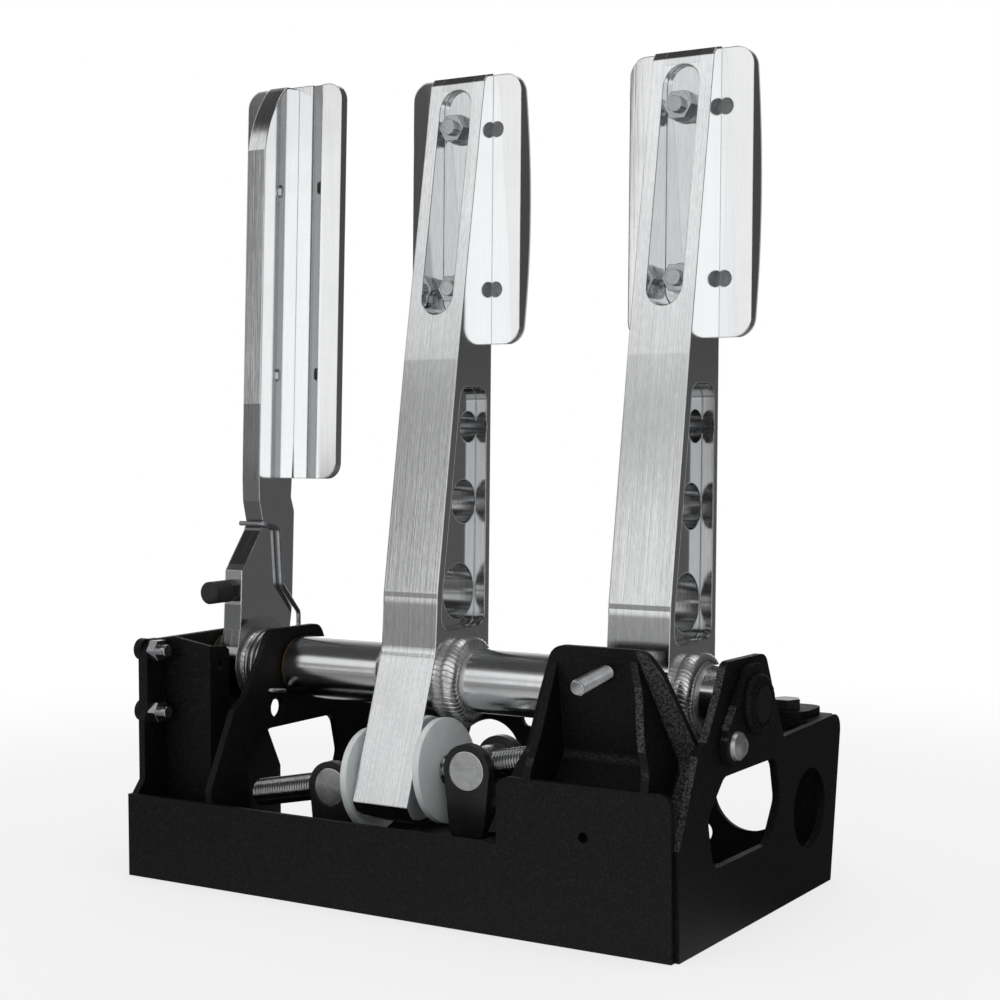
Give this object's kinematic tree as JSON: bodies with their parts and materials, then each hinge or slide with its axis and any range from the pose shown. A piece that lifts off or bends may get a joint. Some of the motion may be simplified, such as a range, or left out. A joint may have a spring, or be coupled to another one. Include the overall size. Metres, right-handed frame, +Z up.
{
  "type": "pedal box",
  "caption": "Floor-mounted pedal box: steel housing with throttle, brake and clutch pedals on one spindle and a brake balance bar.",
  "frame": {"origin": "middle of the whole part's footprint, at floor height", "axes": "+Z up, +X from the throttle to the clutch, +Y from the front panel to the rear wall and the driver's feet"},
  "size_m": [0.2584, 0.1486, 0.3263],
  "materials": {
    "black_powder": "fine textured black powder coat",
    "black_steel": "smooth blackened steel",
    "arm_alloy": "milled and brushed aluminium",
    "plain_steel": "ground steel",
    "zinc": "bright zinc plate",
    "nylon": "translucent white nylon",
    "grip": "pale grey grip sheet",
    "bronze": "bearing bronze",
    "knob_rubber": "matt black rubber",
    "spring_wire": "drawn spring wire"
  },
  "bodies": {
    "box": {"front_panel": "black_powder", "floor_plate": "black_powder", "right_side_plate": "black_powder", "middle_plate": "black_powder", "left_side_plate": "black_powder", "left_packing_plate": "black_powder", "rear_wall": "black_powder", "rear_flange": "black_powder", "rear_tab": "black_powder", "rear_tab_screw": "black_steel", "throttle_stop_channel": "black_powder", "clutch_stop_tower": "black_powder", "stop_stud": "zinc", "stop_stud_nut": "zinc", "spindle": "plain_steel", "spindle_flag": "black_powder", "spindle_weld": "black_powder", "spindle_screw": "zinc", "spindle_screw_nut": "zinc", "left_bolts": "zinc", "left_bolt_nuts": "zinc", "throttle_spring": "spring_wire"},
    "brake_pedal": {"brake_arm": "arm_alloy", "brake_tube": "arm_alloy", "brake_bushes": "bronze", "brake_pad": "arm_alloy", "brake_grip": "grip", "brake_pad_bolts": "zinc", "brake_pad_washers": "zinc", "brake_pad_nuts": "zinc", "balance_sleeve": "plain_steel"},
    "clutch_pedal": {"clutch_arm": "arm_alloy", "clutch_tube": "arm_alloy", "clutch_bushes": "bronze", "clutch_pad": "arm_alloy", "clutch_grip": "grip", "clutch_pad_bolts": "zinc", "clutch_pad_washers": "zinc", "clutch_pad_nuts": "zinc", "clutch_pin": "plain_steel"},
    "throttle_pedal": {"throttle_arm": "arm_alloy", "throttle_hub": "arm_alloy", "throttle_bushes": "bronze", "throttle_pad": "arm_alloy", "throttle_pad_screws": "zinc", "throttle_knob": "knob_rubber", "throttle_knob_nut": "black_steel"},
    "balance_ball": {"balance_ball": "plain_steel"},
    "balance_bar": {"balance_bar": "zinc", "balance_discs": "nylon", "left_trunnion": "plain_steel", "right_trunnion": "plain_steel"},
    "left_fork": {"left_clevis": "black_steel"},
    "right_fork": {"right_clevis": "black_steel"},
    "clutch_fork": {"clutch_clevis": "black_steel"}
  },
  "joints": [
    {"name": "brake_pivot", "type": "hinge", "parent": "box", "child": "brake_pedal", "pos_m": [0, -0.01417, 0.0809], "axis": [1, 0, 0], "range_deg": [0, 20]},
    {"name": "clutch_pivot", "type": "hinge", "parent": "box", "child": "clutch_pedal", "pos_m": [0, -0.01417, 0.0809], "axis": [1, 0, 0], "range_deg": [0, 20]},
    {"name": "throttle_pivot", "type": "hinge", "parent": "box", "child": "throttle_pedal", "pos_m": [0, -0.01417, 0.0809], "axis": [1, 0, 0], "range_deg": [0, 24.5], "stiffness_Nm_per_rad": 1.6, "springref_deg": -28.65, "deforming": ["throttle_spring"]},
    {"name": "balance_tilt", "type": "hinge", "parent": "brake_pedal", "child": "balance_ball", "pos_m": [-0.01247, -0.03467, 0.0449], "axis": [0, 1, 0], "range_deg": [0, 11]},
    {"name": "balance_turn", "type": "hinge", "parent": "balance_ball", "child": "balance_bar", "pos_m": [-0.01247, -0.03467, 0.0449], "axis": [0.9816, 0, 0.1908], "range_deg": [-25, 25]},
    {"name": "left_fork_swing", "type": "hinge", "parent": "balance_bar", "child": "left_fork", "pos_m": [-0.03988, -0.03467, 0.03957], "axis": [0, 1, 0], "range_deg": [-10, 20]},
    {"name": "right_fork_swing", "type": "hinge", "parent": "balance_bar", "child": "right_fork", "pos_m": [0.02353, -0.03467, 0.0519], "axis": [0, 1, 0], "range_deg": [-20, 20]},
    {"name": "clutch_fork_swing", "type": "hinge", "parent": "clutch_pedal", "child": "clutch_fork", "pos_m": [0.08772, -0.03467, 0.0449], "axis": [1, 0, 0], "range_deg": [-30, 20]}
  ]
}
